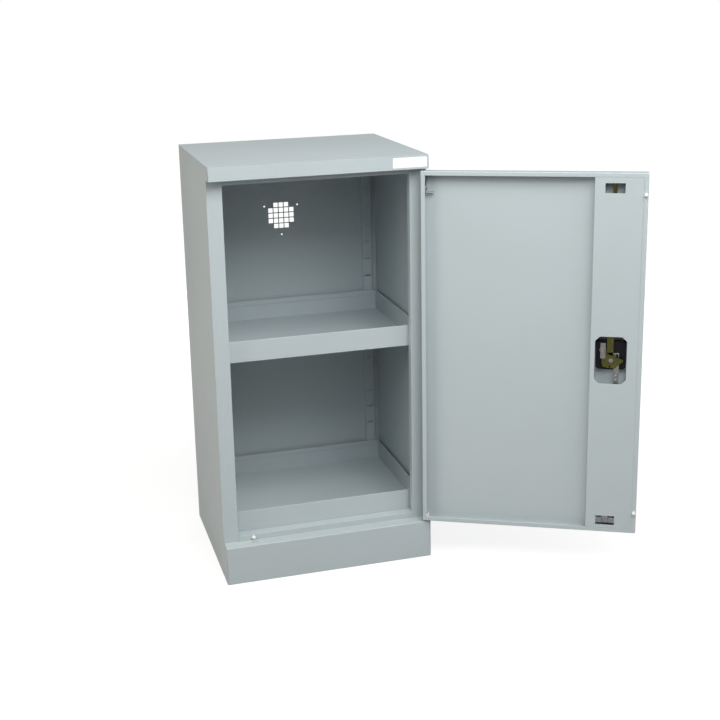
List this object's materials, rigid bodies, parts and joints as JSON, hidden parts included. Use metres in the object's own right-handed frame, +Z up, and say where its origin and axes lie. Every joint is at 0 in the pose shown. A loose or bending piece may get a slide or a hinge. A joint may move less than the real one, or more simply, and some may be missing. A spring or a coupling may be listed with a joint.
{
  "type": "chemical storage cabinet",
  "caption": "Sheet steel storage cabinet on a plinth, with a hinged door, rod lock, lipped shelf, spill tray and a vented back.",
  "frame": {"origin": "on the floor, under the middle of the body's width and depth, with the door left out", "axes": "+X to the right seen from the front, +Y to the back, +Z up; the door stands open 153 degrees"},
  "size_m": [0.9361, 0.6535, 0.98],
  "materials": {
    "grey_paint": "semi-gloss light grey powder coat",
    "zinc_plate": "bright zinc",
    "yellow_zinc": "yellow passivated zinc",
    "spring_steel": "drawn wire",
    "white_nylon": "moulded",
    "black_plastic": "fine grain",
    "lock_metal": "plated zinc casting"
  },
  "bodies": {
    "body": {"left_side_panel": "grey_paint", "right_side_panel": "grey_paint", "back_panel": "grey_paint", "top_panel": "grey_paint", "header_strip": "grey_paint", "floor_panel": "grey_paint", "plinth_frame": "grey_paint", "rear_left_upright": "grey_paint", "front_left_upright": "grey_paint", "rear_right_upright": "grey_paint", "front_right_upright": "grey_paint", "rear_left_shelf_clip": "zinc_plate", "front_left_shelf_clip": "zinc_plate", "rear_right_shelf_clip": "zinc_plate", "front_right_shelf_clip": "zinc_plate", "lower_hinge_pin": "zinc_plate", "upper_hinge_bush": "white_nylon", "sill_buffer": "white_nylon"},
    "shelf": {"shelf_tray": "grey_paint"},
    "tray": {"spill_tray": "grey_paint"},
    "door": {"door_skin": "grey_paint", "door_stiffener": "grey_paint", "upper_door_buffer": "white_nylon", "lower_door_buffer": "white_nylon", "lower_hinge_bush": "white_nylon", "pin_guide": "grey_paint", "pin_spring": "spring_steel", "handle_dish": "black_plastic", "upper_rod_guide": "zinc_plate", "lower_rod_guide": "zinc_plate", "lock_barrel": "lock_metal"},
    "hinge_pin": {"upper_hinge_pin": "zinc_plate", "pin_collar": "zinc_plate"},
    "handle": {"handle_lever": "black_plastic", "spindle": "zinc_plate", "cam": "yellow_zinc", "upper_rod_pin": "zinc_plate", "lower_rod_pin": "zinc_plate", "cam_screw": "zinc_plate"},
    "rod_up": {"upper_rod": "yellow_zinc"},
    "rod_down": {"lower_rod": "zinc_plate", "upper_rod_rivet": "zinc_plate", "lower_rod_rivet": "zinc_plate"},
    "lock": {"lock_plug": "lock_metal", "lock_tongue": "zinc_plate", "tongue_nut": "zinc_plate"}
  },
  "joints": [
    {"name": "door_hinge", "type": "hinge", "parent": "body", "child": "door", "pos_m": [0.243, -0.2005, 0.5], "axis": [0, 0, 1], "range_deg": [-153, 27]},
    {"name": "shelf_lift", "type": "slide", "parent": "body", "child": "shelf", "axis": [0, 0, 1], "range_m": [0, 0.04]},
    {"name": "tray_lift", "type": "slide", "parent": "body", "child": "tray", "axis": [0, 0, 1], "range_m": [0, 0.04]},
    {"name": "hinge_pin_pull", "type": "slide", "parent": "door", "child": "hinge_pin", "axis": [0, 0, -1], "range_m": [0, 0.012], "stiffness_N_per_m": 250, "springref_m": -0.01, "deforming": ["pin_spring"]},
    {"name": "handle_turn", "type": "hinge", "parent": "door", "child": "handle", "pos_m": [0.62038, -0.39335, 0.5155], "axis": [0.454, 0.891, 0], "range_deg": [0, 90]},
    {"name": "upper_rod_slide", "type": "slide", "parent": "door", "child": "rod_up", "axis": [0, 0, 1], "range_m": [0, 0.0198]},
    {"name": "lower_rod_slide", "type": "slide", "parent": "door", "child": "rod_down", "axis": [0, 0, -1], "range_m": [0, 0.0198]},
    {"name": "key_turn", "type": "hinge", "parent": "door", "child": "lock", "pos_m": [0.60452, -0.38527, 0.538], "axis": [0.454, 0.891, 0], "range_deg": [0, 90]}
  ],
  "couplings": [
    {"joint": "handle_turn", "follows": "upper_rod_slide", "rad_per_m": 79.333},
    {"joint": "lower_rod_slide", "follows": "upper_rod_slide", "ratio": 1}
  ]
}
